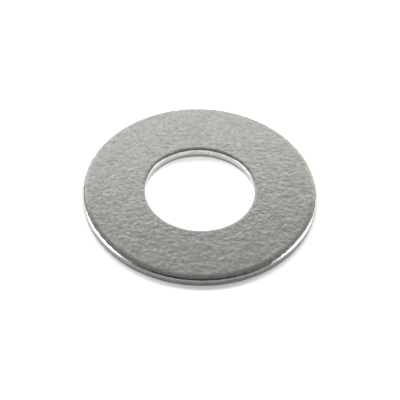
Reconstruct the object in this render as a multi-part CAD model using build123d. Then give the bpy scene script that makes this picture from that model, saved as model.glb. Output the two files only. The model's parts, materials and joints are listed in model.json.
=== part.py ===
from build123d import *

import math
import os

# Flat washer, blanked and pierced from thin steel sheet in one stroke of a compound die.
# Millimetres. Origin: centre of the bore on the lower bearing face. +Z: along the bore,
# towards the rolled face. Each cut edge has a die roll at the upper face, a straight
# sheared land, and a stretch below it where the metal broke away at a slight angle. The
# rim's die roll is much the larger and meets the land in a crease, while the bore's runs
# smoothly into its land. Tumbling took the lower corners off.

# Driving dimensions
BORE_DIAMETER = 8.4
OUTER_DIAMETER = 18.0
THICKNESS = 0.9

# The cut edges, as shares of the sheet's thickness, and in degrees
BORE_ROLL_SHARES = (0.28, 0.15)  # radii of the roll's ellipse, across and down
BORE_CREASE = 0.0  # how much of the ellipse's lower end is missing, where it meets the land
BORE_BREAK_SHARE = 0.36
RIM_ROLL_SHARES = (0.57, 0.57)
RIM_CREASE = 28.0
RIM_BREAK_SHARE = 0.26
BREAK_ANGLE = 9.0  # from the bore's axis
CORNER_RADIUS_SHARE = 0.05

# Worked out from the driving dimensions
BORE_RADIUS = BORE_DIAMETER / 2
OUTER_RADIUS = OUTER_DIAMETER / 2
BORE_BREAK_HEIGHT = BORE_BREAK_SHARE * THICKNESS
RIM_BREAK_HEIGHT = RIM_BREAK_SHARE * THICKNESS
CORNER_RADIUS = CORNER_RADIUS_SHARE * THICKNESS


def land_top(roll_shares, crease):
    """How high a land reaches, to where its die roll begins."""
    return (1 - roll_shares[1] * (1 - math.sin(math.radians(crease)))) * THICKNESS


def cut_edge(wall, into, roll_shares, crease, break_height):
    """One cut edge, from the lower face up to the end of its die roll.

    The land stands at the radius given by wall. The metal lies outside it where into is 1,
    and inside it where into is -1.
    """
    across, down = (share * THICKNESS for share in roll_shares)
    lean = break_height * math.tan(math.radians(BREAK_ANGLE))
    break_away = Line((wall + into * lean, 0), (wall, break_height))
    land = Line((wall, break_height), (wall, land_top(roll_shares, crease)))
    roll_centre = (wall + into * across * math.cos(math.radians(crease)), THICKNESS - down)
    start = 90 + into * (90 - crease)
    die_roll = EllipticalCenterArc(roll_centre, across, down, start, arc_size=90 - start)
    return [break_away, land, die_roll]


def section():
    """One side of the washer's section, with radius along X and height along Y."""
    bore = cut_edge(BORE_RADIUS, 1, BORE_ROLL_SHARES, BORE_CREASE, BORE_BREAK_HEIGHT)
    rim = cut_edge(OUTER_RADIUS, -1, RIM_ROLL_SHARES, RIM_CREASE, RIM_BREAK_HEIGHT)
    upper_face = Line(bore[-1] @ 1, rim[-1] @ 1)
    lower_face = Line(bore[0] @ 0, rim[0] @ 0)
    outline = make_face(Wire([*bore, upper_face, *reversed(rim), lower_face]))
    lower_corners = outline.vertices().group_by(Axis.Y)[0]
    return fillet(lower_corners, CORNER_RADIUS)


def washer():
    """The whole washer: the section turned once round the bore's axis."""
    return revolve(Plane.XZ * section(), Axis.Z)


os.makedirs("parts", exist_ok=True)
export_step(washer(), "parts/washer.step")
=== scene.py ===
"""Looks for a plain flat washer: zinc-plated steel lying on a white table in soft light.

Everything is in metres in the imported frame. The origin is the centre of the bore on the
lower face, +Z points up along the bore, and the camera stands on the -Y side. Relief and
patterns are reckoned in millimetres, because that is how such a surface is measured.
"""

from __future__ import annotations

import json
import logging
import math
from collections.abc import Mapping
from dataclasses import dataclass
from enum import Enum
from typing import Any

import bpy
from mathutils import Matrix, Vector

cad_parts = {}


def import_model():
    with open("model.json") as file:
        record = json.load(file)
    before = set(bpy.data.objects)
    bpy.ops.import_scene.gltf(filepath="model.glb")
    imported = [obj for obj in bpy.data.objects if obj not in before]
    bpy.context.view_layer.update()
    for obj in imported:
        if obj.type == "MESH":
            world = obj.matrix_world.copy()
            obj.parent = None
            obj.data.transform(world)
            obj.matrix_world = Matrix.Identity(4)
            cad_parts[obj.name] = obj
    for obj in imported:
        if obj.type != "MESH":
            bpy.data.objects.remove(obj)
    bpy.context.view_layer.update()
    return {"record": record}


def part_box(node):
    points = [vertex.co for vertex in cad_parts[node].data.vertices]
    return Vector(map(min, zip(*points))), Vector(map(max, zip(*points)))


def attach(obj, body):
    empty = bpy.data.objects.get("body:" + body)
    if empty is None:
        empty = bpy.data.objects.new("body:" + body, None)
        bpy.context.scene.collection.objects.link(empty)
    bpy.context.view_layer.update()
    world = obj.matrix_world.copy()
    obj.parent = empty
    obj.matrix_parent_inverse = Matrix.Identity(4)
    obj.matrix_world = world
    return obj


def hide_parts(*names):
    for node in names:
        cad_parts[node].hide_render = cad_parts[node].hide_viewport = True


LOG = logging.getLogger("washer")
MM = 0.001
PER_MM = 1 / MM
WASHER_NODE = "washer"
SEED = 7


# ---------------------------------------------------------------- node building


class Wire:
    """A node's output socket that does arithmetic: an expression adds its Math nodes."""

    def __init__(self, graph: Graph, socket: bpy.types.NodeSocket) -> None:
        """Wraps a socket.

        Args:
            graph: the graph that the socket belongs to.
            socket: an output socket.
        """
        self.graph = graph
        self.socket = socket

    def math(self, operation: str, *others: Value) -> Wire:
        """Adds one Math node that starts from this wire.

        Args:
            operation: the Math node's operation.
            others: the node's further inputs, wires or numbers.

        Returns:
            The node's result.
        """
        inputs = dict(enumerate((self, *others)))
        return self.graph.add("ShaderNodeMath", {"operation": operation}, inputs)

    def __add__(self, other: Value) -> Wire:
        """Adds."""
        return self.math("ADD", other)

    def __radd__(self, other: Value) -> Wire:
        """Adds, with the number first."""
        return self.math("ADD", other)

    def __sub__(self, other: Value) -> Wire:
        """Subtracts."""
        return self.math("SUBTRACT", other)

    def __rsub__(self, other: float) -> Wire:
        """Subtracts this wire from a number."""
        return (self * -1.0).math("ADD", other)

    def __mul__(self, other: Value) -> Wire:
        """Multiplies."""
        return self.math("MULTIPLY", other)

    def __rmul__(self, other: Value) -> Wire:
        """Multiplies, with the number first."""
        return self.math("MULTIPLY", other)

    def __truediv__(self, other: Value) -> Wire:
        """Divides."""
        return self.math("DIVIDE", other)

    def __abs__(self) -> Wire:
        """The size without the sign."""
        return self.math("ABSOLUTE")


Value = Wire | float | int | tuple | str | bpy.types.ID


class Graph:
    """A node tree that is built by calls, for a material, the world or geometry nodes."""

    def __init__(self, tree: bpy.types.NodeTree) -> None:
        """Starts from an empty tree.

        Args:
            tree: the tree, whose nodes are removed.
        """
        self.tree = tree
        tree.nodes.clear()

    def node(self, kind: str, settings: Mapping[str, Any], inputs: Mapping) -> bpy.types.Node:
        """Adds any node: its settings are set first, then its sockets.

        Args:
            kind: the node's type.
            settings: the node's own properties by name.
            inputs: wires or values by the socket's name or number.

        Returns:
            The node.
        """
        made = self.tree.nodes.new(kind)
        for name, value in settings.items():
            setattr(made, name, value)
        for key, value in inputs.items():
            if isinstance(value, Wire):
                self.tree.links.new(value.socket, made.inputs[key])
            else:
                made.inputs[key].default_value = value
        return made

    def add(
        self,
        kind: str,
        settings: Mapping[str, Any] | None = None,
        inputs: Mapping | None = None,
        out: str | int = 0,
    ) -> Wire:
        """Adds any node and returns one of its outputs.

        Args:
            kind: the node's type.
            settings: the node's own properties by name.
            inputs: wires or values by the socket's name or number.
            out: the name or number of the output that is wanted.

        Returns:
            That output.
        """
        made = self.node(kind, settings or {}, inputs or {})
        return Wire(self, made.outputs[out])

    def vector(self, x: Value, y: Value, z: Value) -> Wire:
        """Combines three numbers into a vector."""
        return self.add("ShaderNodeCombineXYZ", {}, {0: x, 1: y, 2: z})

    def parts(self, vector: Wire) -> tuple[Wire, Wire, Wire]:
        """Splits a vector.

        Args:
            vector: the vector, or a colour.

        Returns:
            Its three numbers.
        """
        split = self.node("ShaderNodeSeparateXYZ", {}, {0: vector})
        x, y, z = (Wire(self, socket) for socket in split.outputs)
        return x, y, z

    def scaled(self, vector: Wire, by: tuple[float, float, float]) -> Wire:
        """Multiplies a vector by three numbers, one for each axis."""
        return self.add("ShaderNodeVectorMath", {"operation": "MULTIPLY"}, {0: vector, 1: by})

    def stretched(self, vector: Wire, length: Value) -> Wire:
        """Multiplies a vector by one number or wire."""
        inputs = {0: vector, "Scale": length}
        return self.add("ShaderNodeVectorMath", {"operation": "SCALE"}, inputs)

    def mixed(self, share: Value, first: Value, second: Value, blend: str = "MIX") -> Wire:
        """Mixes two colours.

        Args:
            share: 0 for the first colour, 1 for the second.
            first: a colour or a wire that carries one.
            second: a colour or a wire that carries one.
            blend: how they are mixed.

        Returns:
            The mixed colour.
        """
        settings = {"data_type": "RGBA", "blend_type": blend}
        return self.add("ShaderNodeMix", settings, {0: share, 6: first, 7: second}, out=2)

    def between(self, value: Wire, low: Value, high: Value, to: tuple = (0.0, 1.0)) -> Wire:
        """Goes smoothly from one value to another as a wire goes from low to high.

        Args:
            value: the wire that is read.
            low: where the change begins.
            high: where the change is complete.
            to: the result below low and above high.

        Returns:
            The result.
        """
        inputs = {0: value, 1: low, 2: high, 3: to[0], 4: to[1]}
        return self.add("ShaderNodeMapRange", {"interpolation_type": "SMOOTHSTEP"}, inputs)

    def noise(self, place: Wire, per_mm: float, seed: Value, detail: float = 2.0,
              roughness: float = 0.5) -> Wire:
        """Cloudy noise about 0, from roughly -0.5 to 0.5.

        Args:
            place: the place in millimetres.
            per_mm: how many lumps there are to the millimetre.
            seed: the slice of the noise that is taken.
            detail: how many finer layers are added.
            roughness: how strong each finer layer is beside the one before.

        Returns:
            The noise.
        """
        inputs = {"Vector": place, "W": seed, "Scale": per_mm, "Detail": detail,
                  "Roughness": roughness}
        # The node's own noise lies about 0.5.
        return self.add("ShaderNodeTexNoise", {"noise_dimensions": "4D"}, inputs) - 0.5


# ---------------------------------------------------------------- the washer


class Bend(Enum):
    """How a stretch of the section runs from its start to its end."""

    STRAIGHT = "straight"
    ROUND = "round"


class Slice(Enum):
    """Which slice of the noise a pattern takes, so that no two patterns line up."""

    GRAIN = 0.1
    SWELL = 0.2
    DRAG = 0.3
    FRACTURE = 0.4
    DENT = 0.5
    GRIT = 1.0
    CLOUD = 2.0
    STREAK = 3.0
    TINT = 11.0
    SCRATCH = 20.0
    SCRATCHED_AREA = 30.0


@dataclass(frozen=True)
class CutEdge:
    """One cut edge, in shares of the sheet's thickness.

    From the upper face down it has a die roll, an upright sheared land, and a stretch where
    the metal broke away at a slight angle. The roll is a quarter of an ellipse, less the
    degrees at its lower end that the crease takes off, where it meets the land.
    """

    across: float
    down: float
    crease: float
    break_height: float
    break_degrees: float = 9.0

    @property
    def roll_width(self) -> float:
        """How far in from the wall the roll reaches."""
        return self.across * math.cos(math.radians(self.crease))

    @property
    def land_top(self) -> float:
        """How high the land reaches."""
        return 1 - self.down * (1 - math.sin(math.radians(self.crease)))

    @property
    def lean(self) -> float:
        """How far the break has leant back by the lower face."""
        return self.break_height * math.tan(math.radians(self.break_degrees))


@dataclass(frozen=True)
class Blank:
    """The washer's sizes in millimetres, and its edges, whose shares are of the thickness."""

    bore_radius: float
    outer_radius: float
    thickness: float
    bore: CutEdge = CutEdge(across=0.28, down=0.15, crease=0.0, break_height=0.36)
    rim: CutEdge = CutEdge(across=0.57, down=0.57, crease=28.0, break_height=0.26)
    corner_share: float = 0.05

    @classmethod
    def from_frame(cls, record: Mapping[str, Any]) -> Blank:
        """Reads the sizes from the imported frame.

        Args:
            record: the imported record, whose bore mount gives the bore.

        Returns:
            The sizes.
        """
        low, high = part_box(WASHER_NODE)
        bore = next(mount for mount in record["mounts"] if mount["name"] == "bore")
        outer = (high.x - low.x) / 2 * PER_MM
        return cls(bore["dims"]["r_mm"], outer, (high.z - low.z) * PER_MM)


@dataclass(frozen=True)
class Relief:
    """How the real faces differ from the plain shape, in millimetres.

    Each height is measured from the middle to a peak, along the surface's normal. The faces
    are sunk, so that their peaks and not their middles keep the plain shape's sizes. The line
    where the break begins wanders and is blurred, and the break ends part of the way down the
    lower corner, at the foot's share of its height. An along share is how fine a pattern is
    along its marks, beside how fine it is across them. A noise is the pair of values at which
    a thing begins and is complete.
    """

    grain: float = 0.0165
    grain_per_mm: float = 3.2
    swell: float = 0.0060
    swell_per_mm: float = 1.1
    sunk: float = 0.0105
    drag: float = 0.0045
    drag_per_mm: float = 5.0
    drag_along_share: float = 0.08
    fracture: float = 0.0120
    fracture_per_mm: float = 7.0
    fracture_sunk_share: float = 0.25
    dent: float = 0.0060
    dent_per_mm: float = 0.55
    dent_noise: tuple[float, float] = (0.17, 0.30)
    blur: float = 0.0300
    wander: float = 0.0450
    wander_per_mm: float = 0.45
    foot_share: float = 0.2


@dataclass(frozen=True)
class Stretch:
    """One stretch of the section, as sockets in millimetres.

    A straight stretch runs from start to end. A round one is part of an ellipse, and turn
    gives the angles of its start and its end in degrees.
    """

    start: tuple[Value, Value]
    end: tuple[Value, Value]
    steps: int
    bend: Bend = Bend.STRAIGHT
    turn: tuple[float, float] = (0.0, 0.0)


@dataclass
class Washer:
    """The one piece: a section swept round the bore, with the relief of real plated sheet."""

    blank: Blank
    relief: Relief = Relief()
    segments: int = 640
    face_steps: int = 60
    lower_steps: int = 24
    bore_roll_steps: int = 9
    rim_roll_steps: int = 18
    wall_steps: int = 8
    corner_steps: int = 3
    weld: float = 0.001
    seed: int = SEED

    def build(self, finish: bpy.types.Material) -> bpy.types.Object:
        """Makes the piece and puts it in the frame.

        Args:
            finish: the material that it wears.

        Returns:
            The finished piece.
        """
        tree, sockets = self.tree(finish)
        carrier = bpy.data.objects.new("blank", bpy.data.meshes.new("blank"))
        bpy.context.scene.collection.objects.link(carrier)
        modifier = carrier.modifiers.new("stamping", "NODES")
        modifier.node_group = tree
        for name, value in self.sizes().items():
            modifier[sockets[name]] = value
        depsgraph = bpy.context.evaluated_depsgraph_get()
        mesh = bpy.data.meshes.new_from_object(carrier.evaluated_get(depsgraph), depsgraph=depsgraph)
        bpy.data.objects.remove(carrier)
        mesh.name = "stamped_washer"
        piece = bpy.data.objects.new("stamped_washer", mesh)
        bpy.context.scene.collection.objects.link(piece)
        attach(piece, "root")
        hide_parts(WASHER_NODE)
        return piece

    def sizes(self) -> dict[str, float]:
        """Works out the values of the tree's named inputs.

        Returns:
            The values by name, in millimetres apart from the seed.
        """
        blank = self.blank
        values = {
            "Bore Radius": blank.bore_radius,
            "Outer Radius": blank.outer_radius,
            "Thickness": blank.thickness,
            "Corner Radius": blank.corner_share * blank.thickness,
            "Seed": self.seed,
        }
        for name, edge in (("Bore", blank.bore), ("Rim", blank.rim)):
            values[f"{name} Roll Width"] = edge.roll_width * blank.thickness
            values[f"{name} Land Top"] = edge.land_top * blank.thickness
            values[f"{name} Break Height"] = edge.break_height * blank.thickness
            values[f"{name} Break Lean"] = edge.lean * blank.thickness
        return values

    def tree(self, finish: bpy.types.Material) -> tuple[bpy.types.NodeTree, dict[str, str]]:
        """Builds the geometry nodes that sweep the section and give it its relief.

        Args:
            finish: the material that the mesh is given.

        Returns:
            The tree, and each named input's identifier.
        """
        tree = bpy.data.node_groups.new("washer_sweep", "GeometryNodeTree")
        graph = Graph(tree)
        identifiers = {}
        for name in self.sizes():
            kind = "NodeSocketInt" if name == "Seed" else "NodeSocketFloat"
            item = tree.interface.new_socket(name, in_out="INPUT", socket_type=kind)
            identifiers[name] = item.identifier
        tree.interface.new_socket("Geometry", in_out="OUTPUT", socket_type="NodeSocketGeometry")
        source = graph.node("NodeGroupInput", {}, {})
        size = {name: Wire(graph, source.outputs[name]) for name in identifiers}
        joined = graph.node("GeometryNodeJoinGeometry", {}, {})
        for stretch in self.section(size):
            tree.links.new(self.swept(graph, stretch).socket, joined.inputs[0])
        whole = graph.add(
            "GeometryNodeMergeByDistance",
            {},
            {"Geometry": Wire(graph, joined.outputs[0]), "Distance": self.weld},
        )
        whole = self.relieved(graph, whole, size)
        whole = graph.add("GeometryNodeSetShadeSmooth", {}, {"Geometry": whole})
        whole = graph.add(
            "GeometryNodeTransform", {}, {"Geometry": whole, "Scale": (MM, MM, MM)}
        )
        whole = graph.add("GeometryNodeRealizeInstances", {}, {"Geometry": whole})
        whole = graph.add("GeometryNodeSetMaterial", {}, {"Geometry": whole, "Material": finish})
        graph.node("NodeGroupOutput", {}, {0: whole})
        return tree, identifiers

    def section(self, size: Mapping[str, Wire]) -> list[Stretch]:
        """Goes once round the section: in along the upper face, down the bore and back.

        Args:
            size: the tree's named inputs.

        Returns:
            The stretches, each starting where the one before ends.
        """
        top = size["Thickness"]
        corner = size["Corner Radius"]
        bore = size["Bore Radius"]
        rim = size["Outer Radius"]
        bore_roll = bore + size["Bore Roll Width"]
        bore_land = size["Bore Land Top"]
        bore_break = size["Bore Break Height"]
        bore_foot = bore + size["Bore Break Lean"]
        rim_roll = rim - size["Rim Roll Width"]
        rim_land = size["Rim Land Top"]
        rim_break = size["Rim Break Height"]
        rim_foot = rim - size["Rim Break Lean"]
        crease = self.blank.rim.crease
        wall = self.wall_steps
        small = self.corner_steps
        curve = Bend.ROUND
        return [
            Stretch((rim_roll, top), (bore_roll, top), self.face_steps),
            Stretch((bore_roll, top), (bore, bore_land), self.bore_roll_steps, curve, (90, 180)),
            Stretch((bore, bore_land), (bore, bore_break), wall),
            Stretch((bore, bore_break), (bore_foot, corner), wall),
            Stretch((bore_foot, corner), (bore_foot + corner, 0.0), small, curve, (180, 270)),
            Stretch((bore_foot + corner, 0.0), (rim_foot - corner, 0.0), self.lower_steps),
            Stretch((rim_foot - corner, 0.0), (rim_foot, corner), small, curve, (270, 360)),
            Stretch((rim_foot, corner), (rim, rim_break), wall),
            Stretch((rim, rim_break), (rim, rim_land), wall),
            Stretch((rim, rim_land), (rim_roll, top), self.rim_roll_steps, curve, (crease, 90)),
        ]

    def swept(self, graph: Graph, stretch: Stretch) -> Wire:
        """Sweeps one stretch round the bore's axis.

        Args:
            graph: the tree.
            stretch: the stretch of the section.

        Returns:
            Its surface, whose faces point outwards.
        """
        inputs = {"Size X": 1.0, "Size Y": 1.0, "Vertices X": self.segments + 1,
                  "Vertices Y": stretch.steps + 1}
        grid = graph.add("GeometryNodeMeshGrid", {}, inputs)
        # A grid of size 1 runs from -0.5 to 0.5 each way.
        round_axis, along, _ = graph.parts(graph.add("GeometryNodeInputPosition"))
        angle = (round_axis + 0.5) * math.tau
        share = along + 0.5
        (r0, z0), (r1, z1) = stretch.start, stretch.end
        if stretch.bend is Bend.STRAIGHT:
            radial = rise = share
        else:
            first, last = (math.radians(turn) for turn in stretch.turn)
            slant = share * (last - first) + first
            # Each way, the arc goes from 0 at its start to 1 at its end.
            radial = (slant.math("COSINE") - math.cos(first)) / (math.cos(last) - math.cos(first))
            rise = (slant.math("SINE") - math.sin(first)) / (math.sin(last) - math.sin(first))
        radius = radial * (r1 - r0) + r0
        height = rise * (z1 - z0) + z0
        where = graph.vector(angle.math("COSINE") * radius, angle.math("SINE") * radius, height)
        return graph.add("GeometryNodeSetPosition", {}, {"Geometry": grid, "Position": where})

    def relieved(self, graph: Graph, whole: Wire, size: Mapping[str, Wire]) -> Wire:
        """Gives the swept surface its grain, drag marks, fracture and dents.

        Args:
            graph: the tree.
            whole: the swept surface, in millimetres.
            size: the tree's named inputs.

        Returns:
            The surface with its relief.
        """
        relief = self.relief
        place = graph.add("GeometryNodeInputPosition")
        zones = Zones.at(graph, place, self.blank, relief, size["Seed"])
        seed = size["Seed"]
        grain = graph.noise(place, relief.grain_per_mm, seed + Slice.GRAIN.value)
        swell = graph.noise(place, relief.swell_per_mm, seed + Slice.SWELL.value)
        upright = graph.scaled(place, (1.0, 1.0, relief.drag_along_share))
        drag = graph.noise(upright, relief.drag_per_mm, seed + Slice.DRAG.value, detail=1.0)
        fracture = graph.noise(
            place, relief.fracture_per_mm, seed + Slice.FRACTURE.value, roughness=0.6
        )
        lumps = graph.noise(place, relief.dent_per_mm, seed + Slice.DENT.value)
        dents = graph.between(lumps, *relief.dent_noise)
        face = zones.face
        height = grain * (2 * relief.grain) + swell * (2 * relief.swell) - relief.sunk
        height = face * height
        height = height + zones.sheared * drag * (2 * relief.drag)
        chipped = fracture - relief.fracture_sunk_share
        height = height + zones.broken * chipped * (2 * relief.fracture)
        height = height - face * dents * relief.dent
        offset = graph.stretched(graph.add("GeometryNodeInputNormal"), height)
        return graph.add("GeometryNodeSetPosition", {}, {"Geometry": whole, "Offset": offset})


@dataclass(frozen=True)
class Zones:
    """Which part of the cut edges a place is on, each from 0 to 1."""

    by_bore: Wire
    rolled: Wire
    sheared: Wire
    broken: Wire

    @property
    def face(self) -> Wire:
        """What is left: the two faces, and the rolls at their edges."""
        return 1.0 - self.sheared.math("MAXIMUM", self.broken)

    @classmethod
    def at(cls, graph: Graph, place: Wire, blank: Blank, relief: Relief, seed: Value) -> Zones:
        """Works the zones out from a place.

        Args:
            graph: the tree.
            place: the place in millimetres.
            blank: the washer's sizes.
            relief: how far the line between land and break wanders and blurs.
            seed: the slice of the noise that is taken.

        Returns:
            The zones at that place.
        """
        thick = blank.thickness
        bore, rim = blank.bore, blank.rim
        x, y, height = graph.parts(place)
        radius = (x * x + y * y).math("SQRT")
        middle = (blank.bore_radius + blank.outer_radius) / 2
        by_bore = (radius * -1.0 + middle).math("GREATER_THAN", 0.0)
        roll_width, land_top, break_height = (
            (by_bore * (at_bore - at_rim) + at_rim) * thick
            for at_bore, at_rim in (
                (bore.roll_width, rim.roll_width),
                (bore.land_top, rim.land_top),
                (bore.break_height, rim.break_height),
            )
        )
        from_bore = radius - blank.bore_radius
        from_wall = from_bore.math("MINIMUM", blank.outer_radius - radius)
        flat = graph.scaled(place, (1.0, 1.0, 0.0))
        wander = graph.noise(flat, relief.wander_per_mm, seed, detail=3.0, roughness=0.6)
        above_break = graph.between(height - wander * (2 * relief.wander) - break_height,
                                    -relief.blur, relief.blur)
        # The land's skin reaches a little above the land's top, over the crease, so the painted shade
        # of the rim's land covers its crease too.
        above_land = graph.between(height - land_top, 0.0, 2 * relief.blur)
        corner = blank.corner_share * thick
        above_foot = graph.between(height, relief.foot_share * corner, corner)
        near = graph.between(from_wall / roll_width, 0.0, 1.0, (1.0, 0.0))
        return cls(
            by_bore=by_bore,
            rolled=near * above_land,
            sheared=above_break * (1.0 - above_land),
            broken=(1.0 - above_break) * above_foot,
        )


# ---------------------------------------------------------------- finishes


@dataclass(frozen=True)
class Skin:
    """How one part of the surface looks before its patterns."""

    colour: tuple[float, float, float, float]
    roughness: float


@dataclass(frozen=True)
class ZincPlate:
    """Bright zinc plate over steel: a fine dull grain on the faces, smoother where sheared.

    Lengths are in millimetres. A mottle is the share that the brightness goes up and down by,
    and a dulling is what a pattern adds to the roughness. An along share and a noise are as
    in the relief.
    """

    blank: Blank
    relief: Relief
    face: Skin = Skin((0.618, 0.624, 0.592, 1.0), 0.20)
    # Painted shade: the roll is darker than the face, which deepens the dark line along the rolled
    # edges.
    roll: Skin = Skin((0.540, 0.540, 0.522, 1.0), 0.14)
    bore_land: Skin = Skin((0.490, 0.490, 0.475, 1.0), 0.16)
    # Painted shade: the rim's land is set darker than the bore's land, standing in for the shade the
    # outer wall shows where it mirrors the washer's shadow on the table.
    rim_land: Skin = Skin((0.260, 0.262, 0.246, 1.0), 0.16)
    bore_break: Skin = Skin((0.320, 0.318, 0.305, 1.0), 0.34)
    # Painted shade, as on the rim's land: darker than the bore's break.
    rim_break: Skin = Skin((0.245, 0.244, 0.230, 1.0), 0.30)
    straw: tuple[float, float, float, float] = (1.01, 1.01, 0.92, 1.0)
    violet: tuple[float, float, float, float] = (0.99, 0.99, 1.02, 1.0)
    tint_per_mm: float = 0.16
    tint_noise: tuple[float, float] = (0.02, 0.22)
    face_metallic: float = 0.93
    fine_mottle: float = 0.42
    broad_mottle: float = 0.13
    cloud_per_mm: float = 1.3
    cloud_dulling: float = 0.04
    grit: float = 0.0085
    grit_per_mm: float = 4.6
    grit_dulling: float = 0.08
    broken_grit: float = 0.0255
    streak: float = 0.0030
    streak_per_mm: float = 9.0
    streak_along_share: float = 0.06
    streak_mottle: float = 0.45
    streak_dulling: float = 0.15
    scratch: float = 0.0009
    scratch_width: float = 0.006
    scratch_degrees: tuple[float, ...] = (17.0, 74.0, 128.0)
    scratch_along_share: float = 0.05
    scratches_per_mm: float = 1.4
    scratched_area_per_mm: float = 0.35
    scratched_area_noise: tuple[float, float] = (0.08, 0.20)
    pit: float = 0.0040
    pits_per_mm: float = 0.9
    pit_sizes: tuple[float, float] = (0.02, 0.12)
    pit_chance: tuple[float, float] = (0.45, 0.55)
    pit_darkening: float = 0.35
    pit_dulling: float = 0.2

    def material(self) -> bpy.types.Material:
        """Builds the material.

        Returns:
            The material, whose patterns follow the piece's own coordinates.
        """
        made = bpy.data.materials.new("zinc_plate")
        made.use_nodes = True
        graph = Graph(made.node_tree)
        place = graph.add("ShaderNodeTexCoord", out="Object")
        place = graph.scaled(place, (PER_MM, PER_MM, PER_MM))
        # The relief's own seed, so that the finish changes where the relief does.
        zones = Zones.at(graph, place, self.blank, self.relief, SEED)
        face = zones.face
        grit = graph.noise(place, self.grit_per_mm, Slice.GRIT.value, detail=4.0, roughness=0.62)
        cloud = graph.noise(place, self.cloud_per_mm, Slice.CLOUD.value, detail=3.0, roughness=0.65)
        upright = graph.scaled(place, (1.0, 1.0, self.streak_along_share))
        drawn = graph.noise(upright, self.streak_per_mm, Slice.STREAK.value, detail=3.0, roughness=0.6)
        streaks = zones.sheared * drawn
        scratches = self.scratches(graph, place) * face
        pits = self.pits(graph, place) * face
        bright = grit * (2 * self.fine_mottle) + cloud * (2 * self.broad_mottle) + 1.0
        bright = bright + streaks * (2 * self.streak_mottle) - pits * self.pit_darkening
        colour = graph.stretched(self.colours(graph, place, zones), bright)
        rough = self.roughness(zones) + grit * self.grit_dulling + cloud * self.cloud_dulling
        rough = rough + streaks * self.streak_dulling + pits * self.pit_dulling
        height = face * grit * (2 * self.grit) + streaks * (2 * self.streak)
        height = height + zones.broken * grit * (2 * self.broken_grit)
        height = height - scratches * self.scratch - pits * self.pit
        normal = graph.add("ShaderNodeBump", {}, {"Height": height, "Distance": MM, "Strength": 1.0})
        metallic = zones.rolled.math("MAXIMUM", 1.0 - face) * (1.0 - self.face_metallic)
        metallic = metallic + self.face_metallic
        inputs = {"Base Color": colour, "Metallic": metallic, "Roughness": rough, "Normal": normal}
        shader = graph.add("ShaderNodeBsdfPrincipled", {}, inputs)
        graph.node("ShaderNodeOutputMaterial", {}, {"Surface": shader})
        return made

    def walls(self, zones: Zones) -> tuple[tuple[Wire, Skin, Skin], ...]:
        """Pairs each zone of the cut edges with its skins.

        Args:
            zones: which part of the edge the place is on.

        Returns:
            The land and then the break, each with its skin at the bore and at the rim.
        """
        return (
            (zones.sheared, self.bore_land, self.rim_land),
            (zones.broken, self.bore_break, self.rim_break),
        )

    def roughness(self, zones: Zones) -> Wire:
        """Blends the skins' roughness.

        Args:
            zones: which part of the edge the place is on.

        Returns:
            The roughness before its patterns.
        """
        face = self.face.roughness
        value = zones.rolled * (self.roll.roughness - face) + face
        for share, at_bore, at_rim in self.walls(zones):
            wall = zones.by_bore * (at_bore.roughness - at_rim.roughness) + at_rim.roughness
            value = value + share * (wall - value)
        return value

    def colours(self, graph: Graph, place: Wire, zones: Zones) -> Wire:
        """Blends the skins' colours and lays the plate's faint tints over them.

        Args:
            graph: the material's graph.
            place: the place in millimetres.
            zones: which part of the edge the place is on.

        Returns:
            The colour before its mottle.
        """
        colour = graph.mixed(zones.rolled, self.face.colour, self.roll.colour)
        for share, at_bore, at_rim in self.walls(zones):
            wall = graph.mixed(zones.by_bore, at_rim.colour, at_bore.colour)
            colour = graph.mixed(share, colour, wall)
        for number, tint in enumerate((self.straw, self.violet)):
            drift = graph.noise(place, self.tint_per_mm, Slice.TINT.value + number)
            patch = graph.between(drift, *self.tint_noise)
            colour = graph.mixed(patch, colour, graph.mixed(1.0, colour, tint, "MULTIPLY"))
        return colour

    def scratches(self, graph: Graph, place: Wire) -> Wire:
        """Fine handling scratches, each from 0 beside it to 1 at its bottom.

        Args:
            graph: the material's graph.
            place: the place in millimetres.

        Returns:
            The scratches.
        """
        found = None
        for number, degrees in enumerate(self.scratch_degrees):
            turned = graph.add(
                "ShaderNodeVectorRotate",
                {"rotation_type": "Z_AXIS"},
                {"Vector": place, "Angle": math.radians(degrees)},
            )
            drawn = graph.scaled(turned, (self.scratch_along_share, 1.0, 1.0))
            seed = Slice.SCRATCH.value + number
            lines = abs(graph.noise(drawn, self.scratches_per_mm, seed))
            seed = Slice.SCRATCHED_AREA.value + number
            area = graph.noise(place, self.scratched_area_per_mm, seed)
            line = graph.between(lines, 0.0, self.scratch_width, (1.0, 0.0))
            line = line * graph.between(area, *self.scratched_area_noise)
            found = line if found is None else found.math("MAXIMUM", line)
        return found

    def pits(self, graph: Graph, place: Wire) -> Wire:
        """Small pits in the plate, each from 0 at its lip to 1 at its bottom.

        Args:
            graph: the material's graph.
            place: the place in millimetres.

        Returns:
            The pits.
        """
        cell = graph.node(
            "ShaderNodeTexVoronoi", {"feature": "F1"}, {"Vector": place, "Scale": self.pits_per_mm}
        )
        distance = Wire(graph, cell.outputs["Distance"])
        # The cell's random colour decides whether it has a pit, and how large a one.
        red, _, _ = graph.parts(Wire(graph, cell.outputs["Color"]))
        small, large = self.pit_sizes
        deep = graph.between(distance, 0.0, red * (large - small) + small, (1.0, 0.0))
        return deep * graph.between(red, *self.pit_chance)


# ---------------------------------------------------------------- the studio


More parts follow.
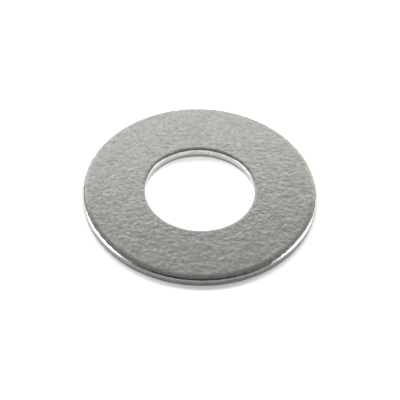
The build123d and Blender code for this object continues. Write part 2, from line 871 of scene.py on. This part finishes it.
@dataclass(frozen=True)
class WhiteTable:
    """The pale seamless table that the washer lies on, with a painted glow within the bore that
    lightens the washer's shadow there.

    Lengths are in metres. The glow fades out under the washer, over the length of the fade.
    """

    bore_radius: float
    radius: float = 3.0
    albedo: float = 0.88
    # Strength of the painted glow: the table emits light within the bore, lightening the washer's
    # shadow there.
    glow: float = 0.34
    fade: float = 0.0002

    def build(self) -> bpy.types.Object:
        """Makes the table's top.

        Returns:
            The table.
        """
        r = self.radius
        mesh = bpy.data.meshes.new("table")
        mesh.from_pydata([(-r, -r, 0), (r, -r, 0), (r, r, 0), (-r, r, 0)], [], [(0, 1, 2, 3)])
        made = bpy.data.materials.new("white_table")
        made.use_nodes = True
        graph = Graph(made.node_tree)
        a = self.albedo
        top = graph.add("ShaderNodeBsdfDiffuse", {}, {"Color": (a, a, a, 1.0)})
        # Painted light: emission only within the bore, so the washer's shadow in the hole is
        # lightened.
        light = graph.add("ShaderNodeEmission", {}, {"Strength": self.glow})
        lit = graph.add("ShaderNodeAddShader", {}, {0: top, 1: light})
        x, y, _ = graph.parts(graph.add("ShaderNodeTexCoord", out="Object"))
        from_axis = (x * x + y * y).math("SQRT")
        painted_glow_mask = graph.between(from_axis, self.bore_radius, self.bore_radius + self.fade, (1.0, 0.0))
        shader = graph.add("ShaderNodeMixShader", {}, {0: painted_glow_mask, 1: top, 2: lit})
        graph.node("ShaderNodeOutputMaterial", {}, {"Surface": shader})
        mesh.materials.append(made)
        table = bpy.data.objects.new("table", mesh)
        bpy.context.scene.collection.objects.link(table)
        return table


def pointing(azimuth: float, elevation: float) -> Vector:
    """The direction of a place in the studio, seen from the washer.

    Args:
        azimuth: degrees to the right of straight behind the washer.
        elevation: degrees above the table.

    Returns:
        A vector of length 1.
    """
    a = math.radians(azimuth)
    e = math.radians(elevation)
    return Vector((math.sin(a) * math.cos(e), math.cos(a) * math.cos(e), math.sin(e)))


@dataclass(frozen=True)
class Glow:
    """A soft round patch of the room that is brighter, or darker, than the rest."""

    azimuth: float
    elevation: float
    core: float
    reach: float
    strength: float

    def seen(self, graph: Graph, away: Wire) -> Wire:
        """How much light the patch adds in a direction.

        Args:
            graph: the world's graph.
            away: the direction that is looked in.

        Returns:
            The light, which is negative for a dark patch.
        """
        towards = tuple(pointing(self.azimuth, self.elevation))
        settings = {"operation": "DOT_PRODUCT"}
        cosine = graph.add("ShaderNodeVectorMath", settings, {0: away, 1: towards}, out="Value")
        far = math.cos(math.radians(self.reach))
        near = math.cos(math.radians(self.core))
        return graph.between(cosine, far, near) * self.strength


@dataclass(frozen=True)
class Softbox:
    """A flat lamp that faces the washer.

    The angles are as in pointing(); turn leans its top edge, in degrees, down to the right.
    """

    name: str
    azimuth: float
    elevation: float
    distance: float
    width: float
    height: float
    radiance: float
    turn: float = 0.0
    mirrored: bool = True

    def build(self) -> None:
        """Makes the lamp."""
        data = bpy.data.lights.new(self.name, "AREA")
        data.shape = "RECTANGLE"
        data.size = self.width
        data.size_y = self.height
        data.energy = self.radiance * math.pi * self.width * self.height
        lamp = bpy.data.objects.new(self.name, data)
        towards = pointing(self.azimuth, self.elevation)
        facing = towards.to_track_quat("Z", "Y").to_matrix().to_4x4()
        turned = Matrix.Rotation(math.radians(self.turn), 4, "Z")
        lamp.matrix_world = Matrix.Translation(towards * self.distance) @ facing @ turned
        lamp.visible_camera = False
        lamp.visible_glossy = self.mirrored
        bpy.context.scene.collection.objects.link(lamp)


@dataclass(frozen=True)
class Studio:
    """The light, from a dim room with glowing and dark patches, a card close behind and two lamps.

    The low glows at both sides and the dark patches in front are what the edges mirror. The
    key throws the washer's short shadow forwards, and the fill softens it from the front.
    """

    room: float = 0.195
    glows: tuple[Glow, ...] = (
        Glow(azimuth=0.0, elevation=40.0, core=8.0, reach=55.0, strength=0.030),
        Glow(azimuth=162.0, elevation=0.0, core=24.0, reach=42.0, strength=-0.21),
        Glow(azimuth=198.0, elevation=0.0, core=24.0, reach=42.0, strength=-0.21),
        Glow(azimuth=52.0, elevation=18.0, core=10.0, reach=34.0, strength=0.17),
        Glow(azimuth=-52.0, elevation=18.0, core=10.0, reach=34.0, strength=0.19),
        Glow(azimuth=92.0, elevation=-6.0, core=14.0, reach=35.0, strength=4.2),
        Glow(azimuth=88.0, elevation=25.0, core=4.0, reach=13.0, strength=0.9),
        Glow(azimuth=-96.0, elevation=-6.0, core=15.0, reach=36.0, strength=5.6),
    )
    card: Softbox = Softbox("card", azimuth=0.0, elevation=24.0, distance=0.080, width=0.160,
                            height=0.070, radiance=0.51, turn=9.0)
    key: Softbox = Softbox("key", azimuth=-6.0, elevation=46.0, distance=0.6, width=2.60,
                           height=0.45, radiance=5.6, mirrored=False)
    fill: Softbox = Softbox("fill", azimuth=180.0, elevation=68.0, distance=0.6, width=1.20,
                            height=0.50, radiance=1.0, mirrored=False)

    def build(self) -> None:
        """Makes the world and the lamps."""
        world = bpy.data.worlds.new("studio")
        world.use_nodes = True
        bpy.context.scene.world = world
        graph = Graph(world.node_tree)
        away = graph.add("ShaderNodeTexCoord", out="Generated")
        light = self.room
        for glow in self.glows:
            light = glow.seen(graph, away) + light
        light = light.math("MAXIMUM", 0.0)
        background = graph.add(
            "ShaderNodeBackground", {}, {"Color": (1.0, 1.0, 1.0, 1.0), "Strength": light}
        )
        graph.node("ShaderNodeOutputWorld", {}, {"Surface": background})
        self.card.build()
        self.key.build()
        self.fill.build()


@dataclass(frozen=True)
class Camera:
    """A long lens that looks down at the washer from the front."""

    elevation: float = 47.3
    roll: float = 2.1
    distance: float = 0.135
    lens: float = 158.9
    sensor: float = 36.0
    clip: tuple[float, float] = (0.01, 20.0)
    aim: tuple[float, float, float] = (0.00004, -0.00073, 0.00040)

    def build(self) -> bpy.types.Object:
        """Makes the camera and gives it to the scene.

        Returns:
            The camera.
        """
        data = bpy.data.cameras.new("camera")
        data.sensor_width = self.sensor
        data.lens = self.lens
        data.clip_start, data.clip_end = self.clip
        made = bpy.data.objects.new("camera", data)
        rise = math.radians(self.elevation)
        back = Vector((0.0, -math.cos(rise), math.sin(rise)))
        turn = (-back).to_track_quat("-Z", "Y").to_matrix().to_4x4()
        roll = Matrix.Rotation(math.radians(self.roll), 4, "Z")
        place = Matrix.Translation(Vector(self.aim) + back * self.distance)
        made.matrix_world = place @ turn @ roll
        bpy.context.scene.collection.objects.link(made)
        bpy.context.scene.camera = made
        return made


def main() -> None:
    """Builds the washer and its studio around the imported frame."""
    logging.basicConfig(level=logging.INFO, format="%(name)s: %(message)s")
    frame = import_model()
    blank = Blank.from_frame(frame["record"])
    relief = Relief()
    finish = ZincPlate(blank, relief).material()
    piece = Washer(blank, relief).build(finish)
    LOG.info("%s: %d faces", piece.name, len(piece.data.polygons))
    WhiteTable(blank.bore_radius * MM).build()
    Studio().build()
    Camera().build()
    scene = bpy.context.scene
    scene.view_settings.view_transform = "Standard"


if __name__ == "__main__":
    main()
